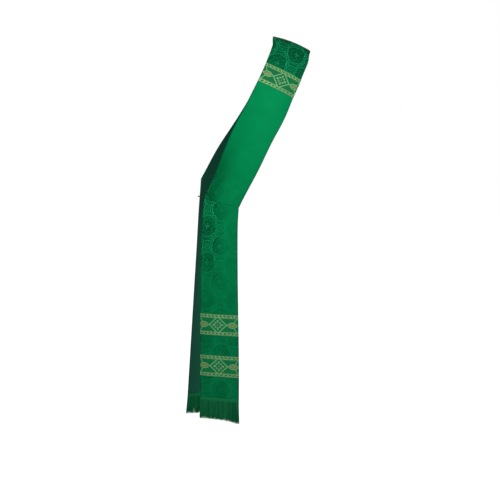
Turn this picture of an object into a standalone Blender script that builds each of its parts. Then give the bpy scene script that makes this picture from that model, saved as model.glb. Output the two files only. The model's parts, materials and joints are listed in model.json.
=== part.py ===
"""Clerical stole worn as a sash over one shoulder.

A long strip of cloth lies over the left shoulder, runs across the front and the back of the
body to the opposite hip, and hangs from a mitred seam on each side. Three woven bands cross
the front, a fringe closes each end, and a short cord links the two sides at the hip.

Metres throughout, +Z up, the front faces -Y and +X is the wearer's left. The origin is the
underside of the strip on the crest of the shoulder, midway across the strip.
"""
import math
from collections import namedtuple

import bpy
import numpy as np

MM = 0.001
WIDTH = 128 * MM
CLOTH = 2 * MM
GAP = 0.3 * MM
COLUMNS = 8

BAND_HEIGHT = 66 * MM
BAND_THICKNESS = 1 * MM
SHOULDER_BAND_AT = 157 * MM
UPPER_HEM_BAND_AT = 349 * MM
LOWER_HEM_BAND_AT = 478 * MM

FRONT_HEM_AT = 611 * MM
BACK_HEM_AT = 706 * MM
HEADING_HEIGHT = 10 * MM
HEADING_THICKNESS = 3 * MM
STRANDS = 48
STRAND_LENGTH = 58 * MM
STRAND_SHARE = 0.56
STRAND_SWAY = 2 * MM
FRINGE_DIP = 7 * MM

CORD_RADIUS = 1.5 * MM
CORD_TUCK = 12 * MM
CORD_SIDES = 8
CORD_RINGS = 24

SEAM_BLEND = 80 * MM
RING_SHOULDER = 10 * MM
RING_SASH = 18 * MM
RING_FALL = 20 * MM

# forward: from the plane of the shoulder crest outward; drop: downward; aside: towards the
# wearer's left; all in millimetres at the middle of the strip. turn: degrees that the left
# edge stands forward; lean: degrees that it slopes down; bow: millimetres that both edges
# bend in towards the body.
Section = namedtuple("Section", "forward drop aside turn lean bow")

SHOULDER = [
    Section(0, -1, 0, 0, 21, 6),
    Section(25, 3, 0, 0, 22, 6),
    Section(47, 14, -1, -13, 23, 6),
]
FRONT_SASH = [
    Section(67, 35, -4, -15, 25, 5),
    Section(85, 65, -14, -18, 26, 5),
    Section(101, 107, -30, -20, 25, 6),
    Section(115, 155, -51, -20, 25, 7),
    Section(125, 225, -85, -6, 25, 8),
    Section(126, 295, -124, 4, 25, 8),
    Section(121, 385, -167, 15, 25, 7),
    Section(113, 455, -201, 27, 25, 5),
    Section(105, 513, -227, 33, 25, 3),
    Section(97, 555, -244, 38, 25, 3),
]
FRONT_FALL = [
    Section(98, 473, -225, 31, 0, 3),
    Section(104, 513, -227, 27, 0, 3),
    Section(114, 565, -230, 27, 0, 2),
    Section(123, 635, -232, 26, 0, 2),
    Section(135, 755, -233, 23, 0, 2),
    Section(145, 895, -232, 21, 0, 2),
    Section(154, 1045, -231, 19, 0, 2),
    Section(165, 1215, -232, 18, 0, 2),
]
BACK_SASH = [
    Section(67, 35, -5, -13, 25, 5),
    Section(86, 65, -15, -15, 26, 5),
    Section(104, 107, -33, -16, 26, 6),
    Section(119, 155, -57, -12, 26, 7),
    Section(129, 225, -98, -2, 27, 8),
    Section(127, 295, -144, 9, 28, 8),
    Section(114, 370, -196, 21, 28, 7),
    Section(98, 425, -229, 30, 28, 5),
    Section(87, 457, -248, 35, 28, 4),
    Section(72, 495, -269, 39, 28, 4),
]
BACK_FALL = [
    Section(88, 419, -246, 35, 0, 4),
    Section(87, 457, -248, 35, 0, 4),
    Section(89, 515, -252, 35, 0, 3),
    Section(95, 635, -260, 35, 0, 3),
    Section(104, 795, -270, 34, 0, 3),
    Section(115, 995, -282, 33, 0, 3),
    Section(127, 1235, -296, 32, 0, 3),
]
SASH_SEAM_ROW = -2
FALL_SEAM_ROW = 1
FRONT = -1.0
BACK = 1.0

# Slants in millimetres at the edges: the rings reach the mitred seam askew, and come round
# from there. A sash swings over its whole length, a fall within FALL_SWING of its seam.
Slant = namedtuple("Slant", "seam rest power")
FRONT_SASH_SLANT = Slant(-12.9, 0.0, 1)
FRONT_FALL_SLANT = Slant(16.8, 2.5, 3)
BACK_SASH_SLANT = Slant(-16.0, 0.0, 1)
BACK_FALL_SLANT = Slant(16.0, 0.0, 3)
FALL_SWING = 0.5

Finish = namedtuple("Finish", "colour roughness metallic")
GREEN_SILK = Finish((0.006, 0.150, 0.055), 0.45, 0.0)
GOLD_GREEN_BRAID = Finish((0.100, 0.190, 0.090), 0.50, 0.15)
DARK_GREEN_FRINGE = Finish((0.006, 0.060, 0.026), 0.60, 0.0)


def clear_scene():
    """Remove the objects that the scene starts with."""
    for item in list(bpy.data.objects):
        bpy.data.objects.remove(item, do_unlink=True)


def unit(vectors):
    """Vectors scaled to length one."""
    return vectors / np.linalg.norm(vectors, axis=-1, keepdims=True)


def ease(value):
    """Smooth step from 0 to 1."""
    value = np.clip(value, 0.0, 1.0)
    return value * value * (3.0 - 2.0 * value)


def natural_spline(knots, values, at):
    """Natural cubic spline through the values at the knots, read at many places."""
    count = len(knots)
    spans = np.diff(knots)
    slopes = np.diff(values, axis=0) / spans[:, None]
    matrix = np.eye(count)
    right = np.zeros_like(values)
    for row in range(1, count - 1):
        before, after = spans[row - 1], spans[row]
        matrix[row, row - 1:row + 2] = before, 2.0 * (before + after), after
        right[row] = 6.0 * (slopes[row] - slopes[row - 1])
    bend = np.linalg.solve(matrix, right)
    span = np.clip(np.searchsorted(knots, at) - 1, 0, count - 2)
    high = ((at - knots[span]) / spans[span])[:, None]
    low = 1.0 - high
    curve = (low ** 3 - low) * bend[span] + (high ** 3 - high) * bend[span + 1]
    return low * values[span] + high * values[span + 1] + curve * (spans[span] ** 2)[:, None] / 6.0


class Strip:
    """A strip of cloth laid along a row of sections.

    A place on it is a station (metres along its middle), a distance across (towards the
    wearer's left) and a distance out from the middle of its wall.
    """

    def __init__(self, sections, zero_row, seam_row, face, slant):
        rows = np.array([
            (s.aside * MM, -s.forward * MM, -s.drop * MM, s.turn, s.lean, s.bow * MM)
            for s in sections
        ])
        knots = np.concatenate([[0.0], np.cumsum(np.linalg.norm(np.diff(rows[:, :3], axis=0), axis=1))])
        fine = np.linspace(0.0, knots[-1], 2400)
        table = natural_spline(knots, rows, fine)
        steps = np.linalg.norm(np.diff(table[:, :3], axis=0), axis=1)
        length = np.concatenate([[0.0], np.cumsum(steps)])
        self.along = length - np.interp(knots[zero_row], fine, length)
        self.seam = float(np.interp(knots[seam_row], fine, self.along))
        self.path = table[:, :3]
        self.bow = table[:, 5]
        turn, lean = np.radians(table[:, 3]), np.radians(table[:, 4])
        forward = unit(np.gradient(self.path, self.along, axis=0))
        level = np.stack([np.cos(turn) * np.cos(lean), -np.sin(turn) * np.cos(lean), -np.sin(lean)], axis=1)
        self.across = unit(level - (level * forward).sum(axis=1, keepdims=True) * forward)
        self.outward = np.cross(forward, self.across)
        self.mirror = np.array([1.0, -face, 1.0])
        self.slant = slant
        self.other = None

    def read(self, values, station):
        """One of the strip's tables at the stations."""
        if values.ndim == 1:
            return np.interp(station, self.along, values)
        columns = [np.interp(station, self.along, values[:, axis]) for axis in range(3)]
        return np.stack(columns, axis=-1)

    def plain(self, station, across, out):
        """Points of the strip before its seam is drawn together with its neighbour's."""
        station, across, out = np.broadcast_arrays(station, across, out)
        share = across / (0.5 * WIDTH)
        lift = out - self.read(self.bow, station) * share ** 2
        points = self.read(self.path, station) + self.read(self.across, station) * across[..., None]
        return points + self.read(self.outward, station) * lift[..., None]

    def askew(self, station, across):
        """Station shifted so that crosswise lines swing round to the slant of the seam."""
        share = across / (0.5 * WIDTH)
        reach = self.seam if self.seam > FALL_SWING else FALL_SWING
        near = 1.0 - np.clip(np.abs(station - self.seam) / reach, 0.0, 1.0)
        swing = self.slant.rest + (self.slant.seam - self.slant.rest) * near ** self.slant.power
        return station + swing * MM * share

    def point(self, station, across, out=0.0):
        """Points of the strip."""
        station, across, out = np.broadcast_arrays(np.asarray(station, float), across, out)
        points = self.plain(self.askew(station, across), across, out)
        if self.other is not None:
            own = self.plain(self.askew(np.full_like(station, self.seam), across), across, out)
            start = np.full_like(station, self.other.seam)
            met = self.other.plain(self.other.askew(start, across), across, out)
            near = ease(1.0 - np.abs(station - self.seam) / SEAM_BLEND)
            points = points + (0.5 * near)[..., None] * (met - own)
        return points * self.mirror


def over_crest(sections):
    """Sections carried over the crest as a mirror image, and the row of the crest."""
    mirrored = [Section(-s.forward, s.drop, s.aside, -s.turn, s.lean, s.bow) for s in sections[:0:-1]]
    return mirrored + sections, len(mirrored)


def join(sash, fall):
    """Let two strips share one curved seam."""
    sash.other = fall
    fall.other = sash


def stations(*stops):
    """Stations from stop to stop, each stretch evenly divided no coarser than its spacing."""
    found = [np.array([stops[0]])]
    start = stops[0]
    for spacing, stop in stops[1:]:
        parts = max(1, math.ceil(abs(stop - start) / spacing - 1e-6))
        found.append(np.linspace(start, stop, parts + 1)[1:])
        start = stop
    return np.concatenate(found)


def closed_wall(outer, inner):
    """Closed wall between two like grids of points: its vertices and faces.

    Both sides are cut into triangles along the same diagonals, so walls that lie one over
    the other on the same grid stay parallel.
    """
    rows, columns = outer.shape[:2]
    ids = np.arange(rows * columns).reshape(rows, columns)
    near, far = ids[:-1], ids[1:]
    corners = (near[:, :-1].ravel(), far[:, :-1].ravel(), far[:, 1:].ravel(), near[:, 1:].ravel())
    first = np.stack([corners[0], corners[1], corners[2]], axis=1)
    second = np.stack([corners[0], corners[2], corners[3]], axis=1)
    front = np.concatenate([first, second])
    rim = np.concatenate([ids[0, :-1], ids[:-1, -1], ids[-1, :0:-1], ids[:0:-1, 0]])
    ahead = np.roll(rim, -1)
    behind = rows * columns
    faces = front.tolist() + (front[:, ::-1] + behind).tolist()
    faces += np.stack([rim, ahead, ahead + behind, rim + behind], axis=1).tolist()
    vertices = np.concatenate([outer.reshape(-1, 3), inner.reshape(-1, 3)])
    return vertices, faces


def signed_volume(vertices, faces):
    """Six times the volume of a closed mesh, negative where its faces look inward."""
    fans = [(face[0], face[k], face[k + 1]) for face in faces for k in range(1, len(face) - 1)]
    a, b, c = (vertices[corner] for corner in np.array(fans).T)
    return float((np.cross(a, b) * c).sum())


def add_solid(name, vertices, faces, material):
    """Add one closed solid to the scene."""
    if signed_volume(vertices, faces) < 0.0:
        faces = [face[::-1] for face in faces]
    mesh = bpy.data.meshes.new(name)
    mesh.from_pydata(vertices.tolist(), [], faces)
    mesh.materials.append(material)
    mesh.update()
    solid = bpy.data.objects.new(name, mesh)
    bpy.context.scene.collection.objects.link(solid)
    return solid


def make_material(name, finish):
    """Plain material of one finish."""
    material = bpy.data.materials.new(name)
    material.use_nodes = True
    shader = material.node_tree.nodes["Principled BSDF"]
    shader.inputs["Base Color"].default_value = (*finish.colour, 1.0)
    shader.inputs["Roughness"].default_value = finish.roughness
    shader.inputs["Metallic"].default_value = finish.metallic
    material.diffuse_color = (*finish.colour, 1.0)
    return material


def add_panel(name, strip, rings, material, low=-0.5 * CLOTH, high=0.5 * CLOTH):
    """Wall of cloth on a strip, between two distances out from its middle."""
    across = np.linspace(-0.5 * WIDTH, 0.5 * WIDTH, COLUMNS + 1)
    outer = strip.point(rings[:, None], across[None, :], high)
    inner = strip.point(rings[:, None], across[None, :], low)
    return add_solid(name, *closed_wall(outer, inner), material)


def add_band(name, strip, start, rings, material):
    """Woven band on the outside of a panel, on the panel's own rings."""
    inside = rings[(rings > start - 1e-6) & (rings < start + BAND_HEIGHT + 1e-6)]
    low = 0.5 * CLOTH + GAP
    return add_panel(name, strip, inside, material, low, low + BAND_THICKNESS)


def strand_sway(across, depth, number):
    """Sideways and outward drift of a strand's middle at a depth below its root."""
    share = depth / STRAND_LENGTH
    wave = math.sin(across / (7.2 * MM) + 0.6) + 0.4 * math.sin(across / (3.9 * MM) + 2.0)
    side = STRAND_SWAY * 0.6 * wave * share ** 1.5
    swell = 0.8 * STRAND_SWAY * math.sin(across / (11.0 * MM) + 1.1) * share
    return side, swell + (0.35 * MM if number % 2 else -0.35 * MM) * share


def add_fringe(name, strip, hem, material):
    """Fringe below a hem: a narrow heading with strands grown out of its lower side."""
    top, bottom = hem + GAP, hem + HEADING_HEIGHT
    pitch = WIDTH / STRANDS
    half = 0.5 * pitch * STRAND_SHARE
    middles = -0.5 * WIDTH + pitch * (np.arange(STRANDS) + 0.5)
    cuts = np.concatenate([[-0.5 * WIDTH], np.stack([middles - half, middles + half], 1).ravel(), [0.5 * WIDTH]])
    levels = np.array([top, bottom])
    out = 0.5 * HEADING_THICKNESS
    outer = strip.point(levels[:, None], cuts[None, :], out)
    inner = strip.point(levels[:, None], cuts[None, :], -out)
    vertices, faces = closed_wall(outer, inner)
    count = len(cuts)
    roots = {}
    kept = []
    for face in faces:
        low = [v for v in face if (v // count) % 2 == 1]
        places = sorted({v % count for v in face})
        if len(low) == 4 and places[0] % 2 == 1:
            roots[places[0] // 2] = face
        else:
            kept.append(face)
    points = [vertices]
    total = len(vertices)
    for number, middle in enumerate(middles):
        ring = roots[number]
        sideways = np.array([-1.0 if vertex % count % 2 == 1 else 1.0 for vertex in ring])
        outward = np.array([1.0 if vertex < 2 * count else -1.0 for vertex in ring])
        length = STRAND_LENGTH + (1.0 + math.sin(7.0 * number)) * 1.2 * MM
        length += FRINGE_DIP * float(ease((middle - 0.05 * WIDTH) / (0.40 * WIDTH)))
        for share, size in ((0.34, 0.92), (0.68, 0.80), (1.0, 0.45)):
            side, lift = strand_sway(middle, length * share, number)
            across = middle + side + sideways * half * size
            outs = lift + outward * 0.5 * MM * (size + 0.4)
            points.append(strip.point(bottom + length * share, across, outs))
            fresh = [total + corner for corner in range(4)]
            total += 4
            for corner in range(4):
                following = (corner + 1) % 4
                kept.append([ring[corner], ring[following], fresh[following], fresh[corner]])
            ring = fresh
        kept.append(ring)
    return add_solid(name, np.concatenate(points), kept, material)


def hermite(start, start_way, end, end_way, count):
    """Smooth curve between two points with a direction at each."""
    t = np.linspace(0.0, 1.0, count)[:, None]
    curve = (2 * t ** 3 - 3 * t ** 2 + 1) * start + (t ** 3 - 2 * t ** 2 + t) * start_way
    return curve + (3 * t ** 2 - 2 * t ** 3) * end + (t ** 3 - t ** 2) * end_way


def cord_path(front, back):
    """Middle line of the hip cord, from the inside of the front sash to the back fall."""
    inward = -(0.5 * CLOTH + GAP + CORD_RADIUS)
    edge = -0.5 * WIDTH
    front_tuck = front.point(front.seam - 11.5 * MM, edge + CORD_TUCK, inward)
    front_edge = front.point(front.seam - 6.0 * MM, edge, inward)
    back_edge = back.point(back.seam + 50.0 * MM, edge, inward)
    back_tuck = back.point(back.seam + 50.0 * MM, edge + CORD_TUCK, inward)
    reach = np.linalg.norm(back_edge - front_edge)
    leave = unit(front_edge - front_tuck) * reach * 0.55
    arrive = unit(back_tuck - back_edge) * reach * 0.55
    free = hermite(front_edge, leave, back_edge, arrive, CORD_RINGS - 1)
    return np.concatenate([front_tuck[None], free, back_tuck[None]])


def add_cord(name, path, material):
    """Round cord along a path, closed at both ends."""
    forward = unit(np.gradient(path, axis=0))
    rise = unit(np.array([0.0, 0.0, 1.0]) - forward * forward[:, 2:3])
    side = np.cross(forward, rise)
    angle = np.arange(CORD_SIDES) * 2.0 * math.pi / CORD_SIDES
    circle = np.cos(angle)[None, :, None] * rise[:, None] + np.sin(angle)[None, :, None] * side[:, None]
    rings = path[:, None] + CORD_RADIUS * circle
    count = len(path)
    ids = np.arange(count * CORD_SIDES).reshape(count, CORD_SIDES)
    ahead = np.roll(ids, -1, axis=1)
    faces = np.stack([ids[:-1], ids[1:], ahead[1:], ahead[:-1]], axis=-1).reshape(-1, 4).tolist()
    faces += [ids[0].tolist(), ids[-1, ::-1].tolist()]
    return add_solid(name, rings.reshape(-1, 3), faces, material)


def main():
    clear_scene()
    silk = make_material("green_silk", GREEN_SILK)
    braid = make_material("gold_green_braid", GOLD_GREEN_BRAID)
    thread = make_material("dark_green_fringe", DARK_GREEN_FRINGE)

    front_sash = Strip(*over_crest(SHOULDER + FRONT_SASH), SASH_SEAM_ROW, FRONT, FRONT_SASH_SLANT)
    front_fall = Strip(FRONT_FALL, FALL_SEAM_ROW, FALL_SEAM_ROW, FRONT, FRONT_FALL_SLANT)
    back_sash = Strip(*over_crest(SHOULDER + BACK_SASH), SASH_SEAM_ROW, BACK, BACK_SASH_SLANT)
    back_fall = Strip(BACK_FALL, FALL_SEAM_ROW, FALL_SEAM_ROW, BACK, BACK_FALL_SLANT)
    join(front_sash, front_fall)
    join(back_sash, back_fall)

    band_end = SHOULDER_BAND_AT + BAND_HEIGHT
    front_sash_rings = stations(0.5 * GAP, (RING_SHOULDER, SHOULDER_BAND_AT), (RING_SASH, band_end),
                                (RING_SASH, front_sash.seam - 0.6 * GAP))
    back_sash_rings = stations(0.5 * GAP, (RING_SHOULDER, SHOULDER_BAND_AT),
                               (RING_SASH, back_sash.seam - 0.6 * GAP))
    front_fall_rings = stations(0.6 * GAP, (RING_FALL, UPPER_HEM_BAND_AT),
                                (RING_FALL, UPPER_HEM_BAND_AT + BAND_HEIGHT), (RING_FALL, LOWER_HEM_BAND_AT),
                                (RING_FALL, LOWER_HEM_BAND_AT + BAND_HEIGHT), (RING_FALL, FRONT_HEM_AT))
    back_fall_rings = stations(0.6 * GAP, (RING_FALL, BACK_HEM_AT))

    add_panel("front_sash", front_sash, front_sash_rings, silk)
    add_panel("front_fall", front_fall, front_fall_rings, silk)
    add_panel("back_sash", back_sash, back_sash_rings, silk)
    add_panel("back_fall", back_fall, back_fall_rings, silk)
    add_band("shoulder_band", front_sash, SHOULDER_BAND_AT, front_sash_rings, braid)
    add_band("upper_hem_band", front_fall, UPPER_HEM_BAND_AT, front_fall_rings, braid)
    add_band("lower_hem_band", front_fall, LOWER_HEM_BAND_AT, front_fall_rings, braid)
    add_fringe("front_fringe", front_fall, FRONT_HEM_AT, thread)
    add_fringe("back_fringe", back_fall, BACK_HEM_AT, thread)
    add_cord("hip_link", cord_path(front_sash, back_fall), thread)


main()
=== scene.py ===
"""A damask stole worn as a sash: cloth panels, woven cross bands, fringes and a hip cord."""

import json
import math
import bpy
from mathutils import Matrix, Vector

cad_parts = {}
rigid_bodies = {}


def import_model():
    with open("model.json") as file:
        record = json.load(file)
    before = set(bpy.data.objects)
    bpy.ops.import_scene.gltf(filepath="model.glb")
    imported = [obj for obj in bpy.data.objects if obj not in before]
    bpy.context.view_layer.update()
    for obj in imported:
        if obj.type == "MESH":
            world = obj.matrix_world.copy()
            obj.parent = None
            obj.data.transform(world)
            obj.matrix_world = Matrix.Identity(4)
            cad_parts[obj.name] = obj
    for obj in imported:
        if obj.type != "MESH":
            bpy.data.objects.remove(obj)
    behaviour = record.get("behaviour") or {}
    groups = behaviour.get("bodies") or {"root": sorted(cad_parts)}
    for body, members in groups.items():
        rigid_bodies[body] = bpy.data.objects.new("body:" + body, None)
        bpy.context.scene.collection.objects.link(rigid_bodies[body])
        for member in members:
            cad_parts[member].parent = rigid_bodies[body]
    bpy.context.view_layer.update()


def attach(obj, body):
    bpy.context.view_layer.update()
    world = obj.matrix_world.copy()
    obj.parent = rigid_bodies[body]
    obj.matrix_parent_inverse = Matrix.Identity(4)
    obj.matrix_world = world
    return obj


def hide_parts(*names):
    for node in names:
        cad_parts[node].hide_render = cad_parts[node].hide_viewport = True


bl_info = {
    "name": "Sash Stole",
    "version": (1, 0, 0),
    "blender": (4, 5, 0),
    "location": "3D View > Sidebar > Stole",
    "description": "Dresses the solids of a sash stole in damask, braid and fringe",
    "category": "Add Mesh",
}

from collections import namedtuple

import bpy
import numpy as np
from bpy.props import FloatProperty, FloatVectorProperty, IntProperty, PointerProperty

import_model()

# The strip of cloth, its turned edges and its seams, in metres.
MM = 0.001
WIDTH = 128 * MM
HALF = 0.5 * WIDTH
CLOTH = 2 * MM
GAP = 0.3 * MM
EDGE_ROUND = 1.1 * MM
END_ROUND = 0.9 * MM
FOLD_INSET = 5 * MM
FOLD_SPREAD = 4 * MM
FOLD_RISE = 0.12 * MM
SEAM_SPREAD = 1.6 * MM
SEAM_BLEND = 80 * MM
CROWDED = 3 * MM
CRISP_ANGLE = math.radians(65.0)
TABLE_ROWS = 2400

# Bands, hems, fringes and cord. AT is a distance along a strip from the crest or hip seam.
BAND_HEIGHT = 66 * MM
BAND_LIFT = 0.25 * MM
BAND_BODY = 0.55 * MM
BAND_ROUND = 0.8 * MM
SHOULDER_BAND_AT = 157 * MM
UPPER_HEM_BAND_AT = 349 * MM
LOWER_HEM_BAND_AT = 478 * MM
FRONT_HEM_AT = 611 * MM
BACK_HEM_AT = 706 * MM
HEADING_HEIGHT = 10 * MM
HEADING_HALF = 0.9 * MM
STRAND_LENGTH = 58 * MM
FRINGE_DIP = 7 * MM
LOCK_WIDTH = 5.5 * MM
CORD_RADIUS = 1.5 * MM
CORD_TUCK = 12 * MM
CORD_LAY = 5 * MM

# Stage, in metres and degrees.
FLOOR_HEIGHT = -1.42
FLOOR_REACH = 30
LAMP_PLACE = np.array([0.75, -2.0, -0.02])
LAMP_AIM = np.array([-0.14, -0.12, -0.25])
CAMERA_PLACE = (-0.1352, -3.2938, -0.4655)
CAMERA_DIP = 3.5

# Sections of the laid strip: millimetres forward, down and aside at its middle, degrees of
# turn and lean across it, and millimetres that both edges bend in towards the body.
Section = namedtuple("Section", "forward drop aside turn lean bow")
SHOULDER = [
    Section(0, -1, 0, 0, 21, 6),
    Section(25, 3, 0, 0, 22, 6),
    Section(47, 14, -1, -13, 23, 6),
]
FRONT_SASH = [
    Section(67, 35, -4, -15, 25, 5),
    Section(85, 65, -14, -18, 26, 5),
    Section(101, 107, -30, -20, 25, 6),
    Section(115, 155, -51, -20, 25, 7),
    Section(125, 225, -85, -6, 25, 8),
    Section(126, 295, -124, 4, 25, 8),
    Section(121, 385, -167, 15, 25, 7),
    Section(113, 455, -201, 27, 25, 5),
    Section(105, 513, -227, 33, 25, 3),
    Section(97, 555, -244, 38, 25, 3),
]
FRONT_FALL = [
    Section(98, 473, -225, 31, 0, 3),
    Section(104, 513, -227, 27, 0, 3),
    Section(114, 565, -230, 27, 0, 2),
    Section(123, 635, -232, 26, 0, 2),
    Section(135, 755, -233, 23, 0, 2),
    Section(145, 895, -232, 21, 0, 2),
    Section(154, 1045, -231, 19, 0, 2),
    Section(165, 1215, -232, 18, 0, 2),
]
BACK_SASH = [
    Section(67, 35, -5, -13, 25, 5),
    Section(86, 65, -15, -15, 26, 5),
    Section(104, 107, -33, -16, 26, 6),
    Section(119, 155, -57, -12, 26, 7),
    Section(129, 225, -98, -2, 27, 8),
    Section(127, 295, -144, 9, 28, 8),
    Section(114, 370, -196, 21, 28, 7),
    Section(98, 425, -229, 30, 28, 5),
    Section(87, 457, -248, 35, 28, 4),
    Section(72, 495, -269, 39, 28, 4),
]
BACK_FALL = [
    Section(88, 419, -246, 35, 0, 4),
    Section(87, 457, -248, 35, 0, 4),
    Section(89, 515, -252, 35, 0, 3),
    Section(95, 635, -260, 35, 0, 3),
    Section(104, 795, -270, 34, 0, 3),
    Section(115, 995, -282, 33, 0, 3),
    Section(127, 1235, -296, 32, 0, 3),
]
SASH_SEAM_ROW = -2
FALL_SEAM_ROW = 1
FRONT = -1.0
BACK = 1.0

# How far crosswise lines stand askew at the edges, in millimetres: at the seam and away from
# it, and the power with which they swing round. A sash swings over its whole length, a fall
# within FALL_SWING of its seam.
Slant = namedtuple("Slant", "seam rest power")
FRONT_SASH_SLANT = Slant(-12.9, 0.0, 1)
FRONT_FALL_SLANT = Slant(16.8, 2.5, 3)
BACK_SASH_SLANT = Slant(-16.0, 0.0, 1)
BACK_FALL_SLANT = Slant(16.0, 0.0, 3)
FALL_SWING = 0.5


# Shapes of the laid cloth.

def unit(vectors):
    """Vectors scaled to length one."""
    return vectors / np.linalg.norm(vectors, axis=-1, keepdims=True)


def ease(value, start=0.0, run=1.0):
    """Smooth step: 3 t^2 - 2 t^3, where t is how far the value is past the start, as a share
    of the run held between 0 and 1."""
    share = np.clip((value - start) / run, 0.0, 1.0)
    return share * share * (3.0 - 2.0 * share)


def running_length(points):
    """Length of a line of points from the first up to each of them."""
    return np.concatenate([[0.0], np.cumsum(np.linalg.norm(np.diff(points, axis=0), axis=1))])


def natural_spline(knots, values, at):
    """Natural cubic spline: cubic pieces through the values, with no bend at either end."""
    count = len(knots)
    spans = np.diff(knots)
    slopes = np.diff(values, axis=0) / spans[:, None]
    matrix = np.eye(count)
    right = np.zeros_like(values)
    for row in range(1, count - 1):
        before, after = spans[row - 1], spans[row]
        matrix[row, row - 1:row + 2] = before, 2.0 * (before + after), after
        right[row] = 6.0 * (slopes[row] - slopes[row - 1])
    bend = np.linalg.solve(matrix, right)
    span = np.clip(np.searchsorted(knots, at) - 1, 0, count - 2)
    high = ((at - knots[span]) / spans[span])[:, None]
    low = 1.0 - high
    curve = (low ** 3 - low) * bend[span] + (high ** 3 - high) * bend[span + 1]
    return low * values[span] + high * values[span + 1] + curve * (spans[span] ** 2)[:, None] / 6.0


def sash_ripple(station, across):
    """Soft unevenness of cloth drawn over a body: two sines that slant across the strip and
    grow from the crest, plus drag folds that grow towards the hip, the sine of nine times the
    angle round a point beyond the outer end of the hip seam."""
    slow = np.sin(station / 0.047 + across / 0.031) * 0.5
    slow = slow + np.sin(station / 0.071 - across / 0.052 + 1.3) * 0.6
    fan = np.arctan2(across + 1.5 * HALF, 0.64 - station)
    drag = np.sin(9.0 * fan + 0.8) * ease(across, -HALF, 0.05) * 0.9
    return (ease(station, run=0.12) * slow + ease(station, 0.40, 0.16) * drag) * MM


def fall_ripple(station, across):
    """Hanging cloth, in waves that grow from the hip seam: a sine of 2.6 times the share
    across, which drifts and swells towards the hem, plus upright flutes, a fainter sine of
    6.2 times that share."""
    share = across / HALF
    swell = np.sin(2.6 * share + station / 0.21 + 0.4) * (0.9 + 1.3 * station / 0.6)
    flutes = 0.45 * np.sin(6.2 * share + station / 0.11)
    return ease(station, run=0.10) * (swell + flutes) * MM


class Strip:
    """A strip of cloth laid along a row of sections.

    A point is the middle line at a station, moved across the strip, and out along its normal
    by the given distance out plus the ripple, less the bow times the square of the share across.
    """

    def __init__(self, sections, zero_row, seam_row, face, slant, ripple):
        rows = np.array([
            (s.aside * MM, -s.forward * MM, -s.drop * MM, s.turn, s.lean, s.bow * MM)
            for s in sections
        ])
        knots = running_length(rows[:, :3])
        fine = np.linspace(0.0, knots[-1], TABLE_ROWS)
        table = natural_spline(knots, rows, fine)
        length = running_length(table[:, :3])
        self.along = length - np.interp(knots[zero_row], fine, length)
        self.seam = float(np.interp(knots[seam_row], fine, self.along))
        self.path = table[:, :3]
        self.bow = table[:, 5]
        turn, lean = np.radians(table[:, 3]), np.radians(table[:, 4])
        forward = unit(np.gradient(self.path, self.along, axis=0))
        level = [np.cos(turn) * np.cos(lean), -np.sin(turn) * np.cos(lean), -np.sin(lean)]
        level = np.stack(level, axis=1)
        self.across = unit(level - (level * forward).sum(axis=1, keepdims=True) * forward)
        self.outward = np.cross(forward, self.across)
        self.mirror = np.array([1.0, -face, 1.0])
        self.slant = slant
        self.ripple = ripple
        self.other = None

    def read(self, values, station):
        """One of the strip's tables at the stations."""
        if values.ndim == 1:
            return np.interp(station, self.along, values)
        columns = [np.interp(station, self.along, values[:, axis]) for axis in range(3)]
        return np.stack(columns, axis=-1)

    def plain(self, station, across, out):
        """Points of the strip before its seam is drawn together with its neighbour's."""
        station, across, out = np.broadcast_arrays(station, across, out)
        share = across / HALF
        lift = out - self.read(self.bow, station) * share ** 2
        points = self.read(self.path, station) + self.read(self.across, station) * across[..., None]
        return points + self.read(self.outward, station) * lift[..., None]

    def askew(self, station, across):
        """Station shifted so that crosswise lines swing round to the slant of the seam."""
        reach = max(self.seam, FALL_SWING)
        near = 1.0 - np.clip(np.abs(station - self.seam) / reach, 0.0, 1.0)
        swing = self.slant.rest + (self.slant.seam - self.slant.rest) * near ** self.slant.power
        return station + swing * MM * across / HALF

    def point(self, station, across, out):
        """Points of the strip, half of the way to its neighbour's where they share a seam."""
        station, across, out = np.broadcast_arrays(np.asarray(station, float), across, out)
        near = ease(1.0 - np.abs(station - self.seam) / SEAM_BLEND)
        out = out + self.ripple(station, across) * (1.0 - near)
        points = self.plain(self.askew(station, across), across, out)
        own = self.plain(self.askew(np.full_like(station, self.seam), across), across, out)
        start = np.full_like(station, self.other.seam)
        met = self.other.plain(self.other.askew(start, across), across, out)
        return (points + (0.5 * near)[..., None] * (met - own)) * self.mirror


def over_crest(sections):
    """Sections carried over the crest as a mirror image, and the row of the crest."""
    mirrored = [s._replace(forward=-s.forward, turn=-s.turn) for s in sections[:0:-1]]
    return mirrored + sections, len(mirrored)


front_sash = Strip(*over_crest(SHOULDER + FRONT_SASH), SASH_SEAM_ROW, FRONT, FRONT_SASH_SLANT, sash_ripple)
front_fall = Strip(FRONT_FALL, FALL_SEAM_ROW, FALL_SEAM_ROW, FRONT, FRONT_FALL_SLANT, fall_ripple)
back_sash = Strip(*over_crest(SHOULDER + BACK_SASH), SASH_SEAM_ROW, BACK, BACK_SASH_SLANT, sash_ripple)
back_fall = Strip(BACK_FALL, FALL_SEAM_ROW, FALL_SEAM_ROW, BACK, BACK_FALL_SLANT, fall_ripple)
front_sash.other, front_fall.other = front_fall, front_sash
back_sash.other, back_fall.other = back_fall, back_sash


def crowded(low, high, spacing, edge):
    """Places from low to high at an even spacing, with a few more close to each end."""
    count = max(2, math.ceil((high - low - 2.0 * edge) / spacing))
    near = edge * np.array([0.0, 0.08, 0.22, 0.45, 0.72])
    return np.concatenate([low + near, np.linspace(low + edge, high - edge, count + 1), high - near[::-1]])


def edge_round(distance, radius):
    """Half thickness of a rounded edge as a share: a quarter circle over the radius."""
    share = np.clip(distance / radius, 0.0, 1.0)
    return np.sqrt(1.0 - (1.0 - share) ** 2)


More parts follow.
